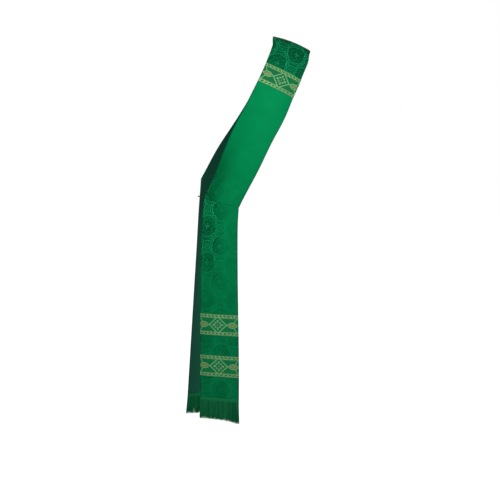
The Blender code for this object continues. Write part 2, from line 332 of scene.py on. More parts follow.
def band_grid(start, height, spacing, edge):
    """Grid of places on a band across a strip: their stations, and how far across they are."""
    rings = crowded(start, start + height, spacing, edge)
    return np.meshgrid(rings, crowded(-HALF, HALF, spacing, edge), indexing="ij")


def wall(outer, inner, across, along):
    """Closed wall between two like grids of points: its points, its quads (both sides and the
    rim round them), how many quads one side has, and its flat plan."""
    rows, columns = outer.shape[:2]
    ids = np.arange(rows * columns).reshape(rows, columns)
    near, far = ids[:-1], ids[1:]
    side = np.stack([near[:, :-1], far[:, :-1], far[:, 1:], near[:, 1:]], axis=-1).reshape(-1, 4)
    rim = np.concatenate([ids[0, :-1], ids[:-1, -1], ids[-1, :0:-1], ids[:0:-1, 0]])
    ahead = np.roll(rim, -1)
    behind = rows * columns
    border = np.stack([rim, ahead, ahead + behind, rim + behind], axis=1)
    points = np.concatenate([outer.reshape(-1, 3), inner.reshape(-1, 3)])
    quads = np.concatenate([side, side[:, ::-1] + behind, border])
    plan = np.tile(np.stack([across.ravel(), along.ravel()], axis=1), (2, 1))
    return points, quads, len(side), plan


def tube_faces(rings, sides):
    """Quads of an open tube of rings."""
    ids = np.arange(rings * sides).reshape(rings, sides)
    ahead = np.roll(ids, -1, axis=1)
    return np.stack([ids[:-1], ids[1:], ahead[1:], ahead[:-1]], axis=-1).reshape(-1, 4)


def six_volumes(points, quads):
    """Six times the signed volume inside closed quads."""
    a, b, c, d = (points[quads[:, corner]] for corner in range(4))
    return float((np.cross(a, b) * c).sum() + (np.cross(a, c) * d).sum())


def add_object(name, data):
    """Object that shows the data, linked to the scene."""
    item = bpy.data.objects.new(name, data)
    bpy.context.scene.collection.objects.link(item)
    return item


def make_piece(name, points, quads, materials, plan, marks=None, slots=None):
    """Mesh object of quads: its materials, flat plan (a UV map in metres), marks (values kept
    at each point) and material slots. Only corners sharper than CRISP_ANGLE stay crisp."""
    if six_volumes(points, quads) < 0.0:
        quads = quads[:, ::-1]
    mesh = bpy.data.meshes.new(name)
    mesh.vertices.add(len(points))
    mesh.vertices.foreach_set("co", points.astype(np.float32).ravel())
    mesh.loops.add(quads.size)
    mesh.loops.foreach_set("vertex_index", quads.astype(np.int32).ravel())
    mesh.polygons.add(len(quads))
    mesh.polygons.foreach_set("loop_start", np.arange(0, quads.size, 4, dtype=np.int32))
    mesh.polygons.foreach_set("use_smooth", np.ones(len(quads), dtype=bool))
    for material in materials:
        mesh.materials.append(material)
    if slots is not None:
        mesh.polygons.foreach_set("material_index", slots.astype(np.int32))
    mesh.update(calc_edges=True)
    layer = mesh.uv_layers.new(name="plan")
    layer.data.foreach_set("uv", plan[quads.ravel()].astype(np.float32).ravel())
    for mark, values in (marks or {}).items():
        kept = mesh.attributes.new(mark, "FLOAT", "POINT")
        kept.data.foreach_set("value", values.astype(np.float32).ravel())
    mesh.validate()
    mesh.set_sharp_from_angle(angle=CRISP_ANGLE)
    piece = add_object(name, mesh)
    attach(piece, "root")
    return piece


# Woven patterns. The braid works on arrays for its relief and on shader sockets for its
# colour, the damask on sockets only.

ARRAY_MATHS = {
    "SQRT": np.sqrt,
    "MAXIMUM": np.maximum,
    "FRACT": lambda value: value - np.floor(value),
}


def calc(operation, *values):
    """One operation on arrays or on sockets."""
    for value in values:
        if isinstance(value, Wire):
            return value.shade.node("ShaderNodeMath", {"operation": operation}, dict(enumerate(values)))
    return ARRAY_MATHS[operation](*values)


def held(value):
    """The value held between 0 and 1."""
    if isinstance(value, Wire):
        settings = {"operation": "ADD", "use_clamp": True}
        return value.shade.node("ShaderNodeMath", settings, {0: value, 1: 0.0})
    return np.clip(value, 0.0, 1.0)


def inside(distance, soft):
    """1 where a signed distance is negative, 0 where it is positive, a ramp between."""
    return held(0.5 - distance * (1.0 / soft))


def line(distance, width, soft=0.5):
    """1 on a line of a width about distance 0, a ramp at both sides of it."""
    return inside(abs(distance) - 0.5 * width, soft)


def repeat(value, period):
    """The value folded into one period about 0."""
    return (calc("FRACT", value * (1.0 / period) + 0.5) - 0.5) * period


def either(*masks):
    """The largest of several masks."""
    found = masks[0]
    for mask in masks[1:]:
        found = calc("MAXIMUM", found, mask)
    return found


def wave(value, length):
    """Sine of the value, once round in each length."""
    return calc("SINE", value * (math.tau / length))


def oval(x, y, half_x, half_y):
    """Signed measure of an oval, in shares of its size: negative inside."""
    return calc("SQRT", x * x * (1.0 / half_x ** 2) + y * y * (1.0 / half_y ** 2)) - 1.0


def medallion(x, y, ring, inner, petals):
    """Flower in a scalloped ring, in millimetres, and the distance from its middle. The
    flower's radius swells by the cosine of the petals times the angle, the ring's is drawn in
    by the size of that cosine, and a faint cross flares out from the middle."""
    radius = calc("SQRT", x * x + y * y)
    petal = calc("COSINE", calc("ARCTAN2", y, x) * petals)
    flower = line(radius - inner - petal * (0.20 * inner), 1.3, 0.8)
    scallop = line(radius - ring + abs(petal) * (0.07 * ring), 1.7, 0.8)
    across, up = abs(x), abs(y)
    long, short = calc("MAXIMUM", across, up), calc("MINIMUM", across, up)
    cross = inside(short - 0.7 - long * 0.28, 0.7) * inside(long - 0.45 * inner, 0.7)
    return either(scallop, flower * 0.75, cross * 0.5), radius


def curl(x, y, size, pitch):
    """Scroll: a line whose radius grows by the pitch with each turn, out to a size."""
    radius = calc("SQRT", x * x + y * y)
    turn = calc("ARCTAN2", y, x) * (pitch / math.tau)
    return line(repeat(radius - turn, pitch), 1.3, 0.8) * inside(radius - size, 0.8)


def damask(u, v):
    """Masks of the damask on a place u across and v along, in millimetres: its figure, a fine
    net, and the beds in the middle of the large medallions. The figure has large flower
    medallions in a half-drop repeat, a small one between each two, four scrolls round every
    small one and a scalloped outer line round every large one."""
    wide, tall = 96.0, 112.0
    halo_at, halo_swing, halo_scallops = 36.5, 1.6, 12.0
    net_step = 6.4
    x, y = repeat(u, wide), repeat(v, tall)
    x2, y2 = repeat(u + 0.5 * wide, wide), repeat(v + 0.5 * tall, tall)
    figures, beds = [], []
    for large_x, large_y, small_x, small_y in ((x, y, x, y2), (x2, y2, x2, y)):
        large, reach = medallion(large_x, large_y, ring=32.0, inner=18.0, petals=8.0)
        small, near = medallion(small_x, small_y, ring=13.0, inner=6.0, petals=6.0)
        swing = calc("COSINE", calc("ARCTAN2", large_y, large_x) * halo_scallops) * halo_swing
        halo = line(reach - halo_at + swing, 1.2, 0.8) * inside(16.0 - near, 0.8)
        side_x, side_y = abs(small_x) - 16.0, abs(small_y) - 15.0
        scroll = curl(side_x, side_y, size=7.0, pitch=5.2)
        figures.extend([large, small, halo * 0.8, scroll])
        beds.append(inside(reach - 25.0, 12.0))
    net = either(line(repeat(u + v, net_step), 1.3, 0.7), line(repeat(u - v, net_step), 1.3, 0.7))
    return either(*figures), net, either(*beds)


def braid(p, q):
    """Masks of the woven braid at p along it and q up from its middle, in millimetres: light
    lines, gold borders, petals, seeds and dark dashes. Slanted dashes run along both ribbed
    borders. A lozenge with a flower is in the middle, and an eye that forks at each side."""
    half_long, half_tall = 28.5, 25.5
    border_at, dash_row, dash_step = 20.6, 27.0, 13.0
    eye_at, eye_long, eye_tall = 47.5, 17.0, 8.0
    far, up = abs(p), abs(q)
    facet = (far * (1.0 / half_long) + up * (1.0 / half_tall) - 1.0) * 19.0
    lozenge = line(facet, 2.7, 0.6)
    border = inside(border_at - up, 0.6) * inside(-facet, 0.6)
    slot = repeat(p + 3.0, dash_step) + (up - dash_row) * 0.9
    dashes = inside(either(abs(slot) - 3.6, abs(up - dash_row) - 2.4), 0.5)
    dashes = either(dashes, line(up - 21.2, 0.9), line(up - 32.3, 0.9)) * border
    petals = either(
        inside(oval(far - 13.2, q, 5.0, 3.1), 0.25),
        inside(oval(p, up - 11.6, 3.1, 4.6), 0.25),
    )
    leaves = either(inside(oval(far - 7.0, up - 6.4, 3.6, 2.9), 0.3), inside(oval(p, q, 2.0, 2.0), 0.3))
    eye = (far - eye_at) * (1.0 / eye_long)
    bulge = held(1.0 - eye * eye) * eye_tall
    rim = line(up - bulge, 2.2, 0.6) * inside(abs(far - eye_at) - 17.5, 0.4)
    seed = inside(up - bulge + 1.9, 0.6) * inside(0.5 - bulge, 1.0)
    heart = line(oval(far - 46.0, q, 7.0, 2.6) * 3.0, 1.3, 0.6)
    margin = line(far - 53.0 - up * up * (9.0 / border_at ** 2), 2.2, 0.6) * inside(bulge - up, 0.6)
    field = 1.0 - border
    light = either(lozenge, either(rim, leaves * 0.7, heart * 0.6, margin) * field)
    return light, border, petals, seed * field, dashes


# Sums written on shader sockets, and the cloths made with them.

class Wire:
    """A shader socket that takes part in sums."""

    def __init__(self, shade, socket):
        self.shade = shade
        self.socket = socket

    def joined(self, operation, first, second):
        return self.shade.node("ShaderNodeMath", {"operation": operation}, {0: first, 1: second})

    def __add__(self, other):
        return self.joined("ADD", self, other)

    def __sub__(self, other):
        return self.joined("SUBTRACT", self, other)

    def __rsub__(self, other):
        return self.joined("SUBTRACT", other, self)

    def __mul__(self, other):
        return self.joined("MULTIPLY", self, other)

    def __neg__(self):
        return self.joined("MULTIPLY", self, -1.0)

    def __abs__(self):
        return calc("ABSOLUTE", self)


class Shade:
    """A material and the nodes that make it."""

    def __init__(self, name, **plain):
        self.material = bpy.data.materials.new(name)
        self.material.use_nodes = True
        self.tree = self.material.node_tree
        self.surface = self.tree.nodes["Principled BSDF"]
        for socket, value in plain.items():
            self.surface.inputs[socket.replace("_", " ")].default_value = value

    def node(self, kind, settings, sockets, output=0):
        """Add a node: its settings first, then the values or links of its sockets."""
        node = self.tree.nodes.new(kind)
        for setting, value in settings.items():
            setattr(node, setting, value)
        for socket, value in sockets.items():
            self.feed(node.inputs[socket], value)
        return Wire(self, node.outputs[output])

    def feed(self, socket, value):
        """Give a socket a value or a link."""
        if isinstance(value, Wire):
            self.tree.links.new(value.socket, socket)
        else:
            socket.default_value = value

    def wear(self, **sockets):
        """Feed the surface's own sockets."""
        for socket, value in sockets.items():
            self.feed(self.surface.inputs[socket.replace("_", " ")], value)
        return self.material

    def plan(self):
        """Place on the flat cloth: millimetres across and along."""
        spot = self.node("ShaderNodeUVMap", {"uv_map": "plan"}, {})
        across = self.node("ShaderNodeSeparateXYZ", {}, {0: spot})
        along = Wire(self, across.socket.node.outputs[1])
        return spot, across * 1000.0, along * 1000.0

    def mark(self, name):
        """A value kept at the piece's points."""
        return self.node("ShaderNodeAttribute", {"attribute_name": name}, {}, output=2)

    def mix(self, share, first, second):
        """Colour between two colours."""
        settings = {"data_type": "RGBA", "blend_type": "MIX"}
        return self.node("ShaderNodeMix", settings, {0: share, 6: first, 7: second}, output=2)

    def noise(self, vector, scale, detail=3.0):
        """Cloudy value about 0.5 on a vector, with so many clouds to a metre."""
        sockets = {"Vector": vector, "Scale": scale, "Detail": detail, "Roughness": 0.55}
        return self.node("ShaderNodeTexNoise", {}, sockets)

    def bump(self, height, distance, strength):
        """Normal raised by a height, in millimetres of distance."""
        sockets = {"Height": height, "Distance": distance * MM, "Strength": strength}
        return self.node("ShaderNodeBump", {}, sockets)


def tint(colour, share=1.0):
    """A user's colour with full cover, made darker or lighter by a share."""
    return (*(part * share for part in colour), 1.0)


def damask_cloth(colours):
    """Satin ground with painted shade in cloudy patches, the figure in a lighter, duller weave that
    wavers with the pull of the cloth, and a row of stitches along both edges. A mark kept at the
    points adds painted shade to ground and figure."""
    twill_step, stitch_row, stitch_step = 0.9, 60.2, 3.0
    shade = Shade("green damask", Specular_IOR_Level=0.0012)
    spot, across, along = shade.plan()
    strength = shade.mark("figure")
    depth_and_painted_shade = shade.mark("depth_and_painted_shade")
    clouds = shade.noise(spot, 14.0)
    threads = shade.noise(spot, 900.0, 1.0)
    pulled = shade.noise(spot, 26.0, 1.0) * 26.0 - 13.0
    figure, net, bed = damask(
        across - shade.mark("figure_across") + pulled, along - shade.mark("figure_along") - pulled * 0.7
    )
    figure = either(figure, net * 0.35 * (1.0 - strength))
    shown = held(figure * strength * (clouds * 1.6 + 0.35))
    ground = shade.mix(held(clouds * 1.6 - 0.3), tint(colours.satin), tint(colours.satin, 1.18))
    # Painted shade: cloudy dark patches in the ground, heaviest in the beds of the large medallions, where
    # the figure shows.
    painted_hollow_shade = held(shade.noise(spot, 30.0, 1.0) * 5.0 - 2.3 + bed * 0.5) * strength
    ground = shade.mix(painted_hollow_shade * 0.7, ground, tint(colours.satin, 0.25))
    # Painted shade from the mark: ground and figure darken at the crest, along the edges, at the seam,
    # above the hip seam and down the fall.
    ground = shade.mix(depth_and_painted_shade, ground, tint(colours.satin, 0.20))
    raised = shade.mix(depth_and_painted_shade, tint(colours.figure), tint(colours.figure, 0.72))
    colour = shade.mix(shown, ground, raised)
    stitch = line(abs(across) - stitch_row, 0.5, 0.3)
    stitch = stitch * inside(abs(repeat(along, stitch_step)) - 1.0, 0.3)
    colour = shade.mix(stitch * 0.55, colour, tint(colours.satin, 0.45))
    colour = shade.mix(held(threads * 0.5 - 0.12), colour, tint(colours.satin, 0.75))
    twill = wave(across + along, twill_step)
    height = figure * strength * 0.5 + twill * 0.12 + threads * 0.15 - stitch * 1.2
    rough = shown * 0.12 + clouds * 0.10 + 0.40
    return shade.wear(Base_Color=colour, Roughness=rough, Normal=shade.bump(height, 0.12, 0.6))


def inner_cloth(colours):
    """Plain satin of the inner side, kept darker than the outer satin as painted shade."""
    thread_step = 0.8
    shade = Shade("plain green satin", Specular_IOR_Level=0.01)
    spot, across, along = shade.plan()
    clouds = shade.noise(spot, 18.0)
    weave = wave(across, thread_step) * wave(along, thread_step)
    colour = shade.mix(held(clouds * 1.4 - 0.2), tint(colours.inner, 0.85), tint(colours.inner))
    return shade.wear(Base_Color=colour, Roughness=clouds * 0.1 + 0.48, Normal=shade.bump(weave, 0.04, 0.5))


# How a braid is cut: where its figure stands along it, in millimetres, how light its green is
# beside the satin, and how light its other thread.
Cut = namedtuple("Cut", "offset ground tone")


def woven_braid(colours, cut):
    """Braid of dull gold and green thread, mottled, with a fine rib."""
    rib_step = 0.8
    shade = Shade("gold and green braid", Specular_IOR_Level=0.012)
    spot, across, along = shade.plan()
    light, border, petals, seed, dashes = braid(across - cut.offset, along)
    threads = shade.noise(spot, 420.0, 2.0)
    mottle = held(shade.noise(spot, 230.0) * 3.2 - 1.1)
    dark, bright = 0.80 * cut.ground, 1.10 * cut.ground
    colour = shade.mix(mottle, tint(colours.satin, dark), tint(colours.satin, bright))
    colour = shade.mix(0.035, colour, tint(colours.seed))
    for mask, thread, low, high in (
        (border, colours.gold, 0.58, 1.30),
        (seed, colours.seed, 0.45, 1.75),
        (light, colours.line, 0.85, 1.15),
        (petals, colours.petal, 0.70, 1.25),
    ):
        yarn = shade.mix(mottle, tint(thread, low * cut.tone), tint(thread, high * cut.tone))
        colour = shade.mix(mask, colour, yarn)
    colour = shade.mix(dashes * 0.9, colour, tint(colours.dash, cut.tone))
    gilt = held(either(light, border, petals, seed) - dashes)
    height = gilt * 0.8 + wave(across, rib_step) * 0.18 + threads * 0.3
    return shade.wear(
        Base_Color=colour,
        Metallic=gilt * 0.15,
        Roughness=0.55 - gilt * 0.1,
        Normal=shade.bump(height, 0.15, 0.6),
    )


def thread_cloth(name, colour, ply_highlight_share):
    """Twisted thread: each strand has its own tone, and plies wind round it, with a painted highlight along
    their crests.
    """
    ply_length, ply_girth = 1.6, 2.4
    shade = Shade(name, Specular_IOR_Level=0.006)
    _, around, along = shade.plan()
    plies = calc("SINE", along * (math.tau / ply_length) + around * (math.tau / ply_girth))
    body = shade.mix(shade.mark("tone"), tint(colour, 0.45), tint(colour, 1.45))
    # Painted highlight: the crests of the plies are lightened towards a brighter copy of the thread colour.
    body = shade.mix(held(plies * 0.25 + 0.2) * ply_highlight_share, body, tint(colour, 2.1))
    return shade.wear(Base_Color=body, Roughness=0.62, Normal=shade.bump(plies, 0.12, 0.6))


# Settings that the user may change.

def length_property(name, description, value, low, high):
    """A length that the user may change, stated in millimetres."""
    return FloatProperty(
        name=name, description=description, subtype="DISTANCE", unit="LENGTH",
        default=value * MM, min=low * MM, max=high * MM,
    )


def colour_property(name, description, value):
    """A colour that the user may change."""
    return FloatVectorProperty(
        name=name, description=description, subtype="COLOR", size=3, min=0.0, max=1.0, default=value
    )


class StoleSizes(bpy.types.PropertyGroup):
    """Sizes of the soft finish."""

    ring_spacing: length_property(
        "Ring spacing", "Distance between the rings of a cloth panel", 3.2, 1.5, 20.0
    )
    column_spacing: length_property(
        "Column spacing", "Distance between the columns of a cloth panel", 2.8, 1.5, 20.0
    )
    braid_spacing: length_property(
        "Braid spacing", "Distance between the points of a braid's relief", 0.85, 0.5, 5.0
    )
    braid_relief: length_property("Braid relief", "Height of the raised thread of a braid", 0.3, 0.0, 1.0)
    fringe_strands: IntProperty(
        name="Fringe strands", description="Strands in each of a fringe's three rows",
        default=105, min=20, max=400,
    )
    strand_width: length_property("Strand width", "Thickness of one fringe strand", 1.55, 0.3, 3.0)


class StoleColours(bpy.types.PropertyGroup):
    """Colours of the cloth, braid and thread."""

    satin: colour_property("Satin", "Ground of the damask", (0.0003, 0.081, 0.0255))
    figure: colour_property("Figure", "Woven figure of the damask", (0.006, 0.190, 0.080))
    # The inner side's colour is kept dark as painted shade.
    inner: colour_property("Inner side", "Plain inner cloth", (0.006, 0.050, 0.030))
    line: colour_property("Light thread", "Pale lines of the braid", (0.080, 0.213, 0.092))
    gold: colour_property("Gold thread", "Borders of the braid", (0.070, 0.182, 0.074))
    petal: colour_property("Petals", "Pale gold thread of the braid's flowers", (0.088, 0.168, 0.080))
    seed: colour_property("Seeds", "Brown gold thread of the braid's eyes", (0.072, 0.092, 0.028))
    dash: colour_property("Dashes", "Dark thread of the braid's borders", (0.022, 0.052, 0.014))
    fringe: colour_property("Fringe", "Thread of the fringes and the cord", (0.0030, 0.062, 0.0215))


# Pieces of the stole.

def sash_marks(station, across):
    """How plainly the figure shows and how much painted shade darkens the front sash: figured and
    darkened above the band, bright and nearly plain below it, with painted shade again at the
    hip's side."""
    share = across / HALF
    top = 1.0 - ease(station, 0.150, 0.02)
    crest = 1.0 - ease(station, 0.05, 0.10)
    low = ease(station, 0.50, 0.12) * (0.14 + 0.60 * ease(-share))
    hollow = ease(station, 0.38, 0.18) * ease(0.1 - share)
    far = 0.16 * ease(share, 0.1, 0.9)
    rim = 0.4 * ease(share, 0.86, 0.12)
    # Painted shade: heavy above the band and heavier at the crest and outer rim; below it, in the hollow
    # above the hip seam on one side and growing towards the other side.
    painted_shade = top * (0.82 + 0.18 * crest + rim) + (0.62 * hollow + far) * (1.0 - top)
    return 0.05 + low + top * (0.64 + 0.18 * crest), painted_shade


def fall_marks(station, across):
    """The same for the front fall: a figured outer edge at the top with more painted shade, a faint
    middle, figured again near the hem, and painted shade that grows slowly downwards."""
    outer = ease(0.5 - 0.9 * (across / HALF)) * (1.0 - ease(station, 0.14, 0.16))
    lower = ease(station, 0.26, 0.10)
    # Painted shade grows towards the hem and on the figured outer edge at the top.
    return 0.20 + 0.66 * outer + 0.16 * lower, 0.08 + 0.22 * ease(station, run=0.5) + 0.36 * outer


def back_sash_marks(station, across):
    """The same for the back sash: as on the front at the crest, painted shade included, fading to the faint
    back.
    """
    near = 1.0 - ease(station, run=0.18)
    return 0.30 + 0.57 * near, 0.20 + 0.80 * near


def back_fall_marks(station, across):
    """The same for the back fall, which is evenly faint."""
    return np.full(station.shape, 0.30), np.full(station.shape, 0.20)


def cloth_panel(name, parts, hem, origin, materials):
    """Thin shell: the surface to both sides of its middle. The half thickness is rounded off
    as a quarter circle at the turned edges and the hem, swells by a bell where the edges are
    folded in, and is drawn in by a narrow bell at a seam. parts are grids of (strip, station,
    across, place along the plan, marks) that follow one another, and origin is the place on
    the plan, in millimetres, from which the figure is charted."""
    grids = []
    for strip, station, across, along, marks in parts:
        aside = HALF - np.abs(across)
        rounded = edge_round(aside, EDGE_ROUND) * edge_round(hem - station, END_ROUND)
        fold = np.exp(-((aside - FOLD_INSET) / FOLD_SPREAD) ** 2)
        seam = np.exp(-((strip.seam - station) / SEAM_SPREAD) ** 2)
        half = 0.5 * CLOTH - FOLD_RISE + FOLD_RISE * fold
        half = half * (0.06 + 0.94 * rounded) * (1.0 - 0.25 * seam)
        shown, painted_shade = marks(station, across)
        # Painted shade: darker along the turned edges and at the seam, added to each place's own painted
        # shade.
        edge = 1.0 - ease(aside, 1.2 * MM, 2.2 * MM)
        grids.append((
            strip.point(station, across, half), strip.point(station, across, -half), across, along,
            np.clip(shown, 0.0, 1.0), np.clip(painted_shade + 0.6 * edge + 0.25 * seam, 0.0, 1.0),
        ))
    outer, inner, across, along, figure, depth_and_painted_shade = (np.concatenate(rows) for rows in zip(*grids))
    points, quads, side, plan = wall(outer, inner, across, along)
    slots = np.zeros(len(quads))
    slots[side:2 * side] = 1
    marks = {
        "figure": np.tile(figure.ravel(), 2),
        "depth_and_painted_shade": np.tile(depth_and_painted_shade.ravel(), 2),
        "figure_across": np.full(len(points), origin[0]),
        "figure_along": np.full(len(points), origin[1]),
    }
    return make_piece(name, points, quads, materials, plan, marks, slots)


def braid_band(name, strip, start, cut, sizes, colours):
    """Woven band on a panel: the panel's outside moved out by the lift, with the braid's masks
    as relief and all four edges rounded."""
    middle = start + 0.5 * BAND_HEIGHT
    station, across = band_grid(start, BAND_HEIGHT, sizes.braid_spacing, 1.2 * MM)
    light, border, petals, seed, dashes = braid(across / MM - cut.offset, (middle - station) / MM)
    raised = np.clip(either(light, petals, seed * 0.7, border * 0.8) - dashes * 0.7, 0.0, 1.0)
    aside = np.minimum(HALF - np.abs(across), 0.5 * BAND_HEIGHT - np.abs(station - middle))
    rounded = edge_round(aside, BAND_ROUND)
    low = 0.5 * CLOTH + BAND_LIFT
    high = low + (BAND_BODY + sizes.braid_relief * raised) * (0.1 + 0.9 * rounded)
    outer, inner = strip.point(station, across, high), strip.point(station, across, low)
    points, quads, _, plan = wall(outer, inner, across, middle - station)
    piece = make_piece(name + "_braid", points, quads, [woven_braid(colours, cut)], plan)
    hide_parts(name)


def fringe_heading(strip, hem):
    """Woven heading of a fringe: a closed wall with rows of small loops as its relief, the
    product of two sines."""
    station, across = band_grid(hem, HEADING_HEIGHT, 0.9 * MM, 1.0 * MM)
    from_ends = 0.5 * HEADING_HEIGHT - np.abs(station - hem - 0.5 * HEADING_HEIGHT)
    rounded = edge_round(np.minimum(HALF - np.abs(across), from_ends), BAND_ROUND)
    loops = np.sin(across / (0.55 * MM)) * np.sin((station - hem) / (0.8 * MM))
    half = (HEADING_HALF + 0.18 * MM * loops) * (0.15 + 0.85 * rounded)
    outer, inner = strip.point(station, across, half), strip.point(station, across, -half)
    points, quads, _, plan = wall(outer, inner, across, station)
    tone = 0.74 + 0.26 * (station < hem + 2.5 * MM)
    return points, quads, plan, np.tile(tone.ravel(), 2)


def fringe_strands(strip, hem, sizes, seed):
    """Three rows of twisted strands: four-sided tubes that turn as they go down and end at
    uneven lengths. A strand's middle is its root plus a sideways drift times the 1.5th power
    of the share of its length. The drift sums two sines, a tenth of the way to the middle of
    a loose lock, a random part and an outward splay near both sides."""
    rng = np.random.default_rng(seed)
    count, rings, sides = sizes.fringe_strands, 9, 4
    total, row = 3 * count, np.arange(3)[:, None]
    pitch = (WIDTH - 1.6 * MM) / count
    across = (-HALF + 0.8 * MM + pitch * (np.arange(count) + 0.2 + 0.3 * row)).ravel()
    out = np.repeat([0.7 * MM, 0.0, -0.7 * MM], count)
    across = np.clip(across + rng.normal(0.0, 0.12 * MM, total), -HALF + 0.6 * MM, HALF - 0.6 * MM)
    share = np.linspace(0.0, 1.0, rings)[None, :] ** rng.uniform(0.8, 1.25, total)[:, None]
    length = STRAND_LENGTH + FRINGE_DIP * ease(across, 0.05 * WIDTH, 0.40 * WIDTH)
    length = length * (1.0 + rng.normal(0.0, 0.02, total))
    depth_and_painted_shade = length[:, None] * share
    lock = LOCK_WIDTH * np.round(across / LOCK_WIDTH + rng.normal(0.0, 0.25, total))
    waves = 0.6 * np.sin(across / (7.2 * MM) + 0.6) + 0.3 * np.sin(across / (3.9 * MM) + 2.0)
    stray = 0.45 * MM * waves + 0.10 * (lock - across) + rng.normal(0.0, 0.4 * MM, total)
    side = across / (0.15 * WIDTH)
    splay = 3.0 * MM * ease(side - 2.3) - 1.5 * MM * ease(-side - 2.3)
    drift = (stray + splay)[:, None] * share ** 1.5
    heave = 1.6 * MM * np.sin(across / (11.0 * MM) + 1.1) + rng.normal(0.0, 0.5 * MM, total)
    turn = rng.uniform(0.0, math.tau, total)[:, None] + depth_and_painted_shade / (30.0 * MM)
    radius = 0.5 * sizes.strand_width * (1.0 - 0.2 * share ** 3) * np.where(share == 1.0, 0.35, 1.0)
    angle = turn[..., None] + np.arange(sides) * math.tau / sides
    at_across = (across[:, None] + drift)[..., None] + radius[..., None] * np.cos(angle)
    at_out = (out[:, None] + heave[:, None] * share)[..., None] + radius[..., None] * np.sin(angle)
    station = np.broadcast_to((hem + HEADING_HEIGHT - 0.8 * MM + depth_and_painted_shade)[..., None], at_across.shape)
    points = strip.point(station, at_across, at_out).reshape(-1, 3)
    ends = np.array([[3, 2, 1, 0], np.arange(4) + sides * (rings - 1)])
    one = np.concatenate([tube_faces(rings, sides), ends])
    quads = (one[None] + (np.arange(total) * rings * sides)[:, None, None]).reshape(-1, 4)
    around = np.broadcast_to(np.arange(sides) * 0.6 * MM, at_across.shape)
    plan = np.stack([around.ravel(), station.ravel()], axis=1)
    tone = np.clip(rng.normal(0.48, 0.22, total) - 0.12 * across / HALF, 0.0, 1.0)
    return points, quads, plan, np.repeat(tone, rings * sides)


def fringe(name, strip, hem, seed, sizes, material):
    """Heading and strands of one fringe, in one piece."""
    heading = fringe_heading(strip, hem)
    strands = fringe_strands(strip, hem, sizes, seed)
    points, _, plan, tone = (np.concatenate(both) for both in zip(heading, strands))
    quads = np.concatenate([heading[1], strands[1] + len(heading[0])])
    piece = make_piece(name + "_threads", points, quads, [material], plan, {"tone": tone})
    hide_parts(name)


def hermite(start, start_way, end, end_way, count):
    """Cubic between two points with a direction at each."""
    t = np.linspace(0.0, 1.0, count)[:, None]
    curve = (2 * t ** 3 - 3 * t ** 2 + 1) * start + (t ** 3 - 2 * t ** 2 + t) * start_way
    return curve + (3 * t ** 2 - 2 * t ** 3) * end + (t ** 3 - t ** 2) * end_way


def cord_path():
    """Middle line of the hip cord, from behind the edge of the front sash to behind that of
    the back fall: a straight tuck, a cubic that goes on from both tucks, a straight tuck."""
    inward = -(0.5 * CLOTH + GAP + CORD_RADIUS)
    tucked, pull = -HALF + CORD_TUCK, 0.55
    front_tuck = front_sash.point(front_sash.seam - 11.5 * MM, tucked, inward)
    front_edge = front_sash.point(front_sash.seam - 6.0 * MM, -HALF, inward)
    back_edge = back_fall.point(back_fall.seam + 50.0 * MM, -HALF, inward)
    back_tuck = back_fall.point(back_fall.seam + 50.0 * MM, tucked, inward)
    reach = np.linalg.norm(back_edge - front_edge)
    leave = unit(front_edge - front_tuck) * reach * pull
    arrive = unit(back_tuck - back_edge) * reach * pull
    free = hermite(front_edge, leave, back_edge, arrive, 33)
    return np.concatenate([front_tuck[None], free, back_tuck[None]])


def twisted_cord(path, radius, lay_length):
    """Round cord of two plies: the radius is 0.82 of the full one plus 0.18 of it times the
    cosine of twice the angle plus a phase that goes once round in each lay length."""
    sides, rings = 16, 260
    steps = running_length(path)
    places = np.linspace(0.0, steps[-1], rings)
    fine = natural_spline(steps, path, places)
    forward = unit(np.gradient(fine, axis=0))
    rise = unit(np.array([0.0, 0.0, 1.0]) - forward * forward[:, 2:3])
    side = np.cross(forward, rise)
    angle = np.arange(sides) * math.tau / sides
    lobes = 0.82 + 0.18 * np.cos(2.0 * angle[None] + math.tau * places[:, None] / lay_length)
    taper = edge_round(np.minimum(places, steps[-1] - places), radius)[:, None]
    reach = radius * lobes * (0.15 + 0.85 * taper)
    circle = np.cos(angle)[None, :, None] * rise[:, None] + np.sin(angle)[None, :, None] * side[:, None]
    points = (fine[:, None] + reach[..., None] * circle).reshape(-1, 3)
    cap = np.array([[k, k + 1, sides - 2 - k, sides - 1 - k] for k in range(sides // 2 - 1)])
    quads = np.concatenate([tube_faces(rings, sides), cap, cap[:, ::-1] + (rings - 1) * sides])
    plan = np.stack([np.tile(angle * radius, rings), np.repeat(places, sides)], axis=1)
    return points, quads, plan, fine


def state_cut():
    """Check that the pieces sewn on each panel were made before it."""
    objects = bpy.data.objects
    for name, length, how, on, sewn in (
        ("sash_cloth", front_sash.seam + back_sash.seam, "draped", [], ["shoulder_band_braid"]),
        ("front_fall_cloth", FRONT_HEM_AT, "hung", ["sash_cloth"],
         ["upper_hem_band_braid", "lower_hem_band_braid", "front_fringe_threads"]),
        ("back_fall_cloth", BACK_HEM_AT, "hung", ["sash_cloth"], ["back_fringe_threads"]),
    ):
        missing = [piece for piece in sewn if piece not in objects]
        if missing:
            raise RuntimeError("Make these before the panels: " + ", ".join(missing))


class StolePiece(bpy.types.Operator):
    """Makes pieces of the stole"""

    bl_options = {"REGISTER", "UNDO"}

    @staticmethod
    def settings(context):
        return context.scene.stole_sizes, context.scene.stole_colours


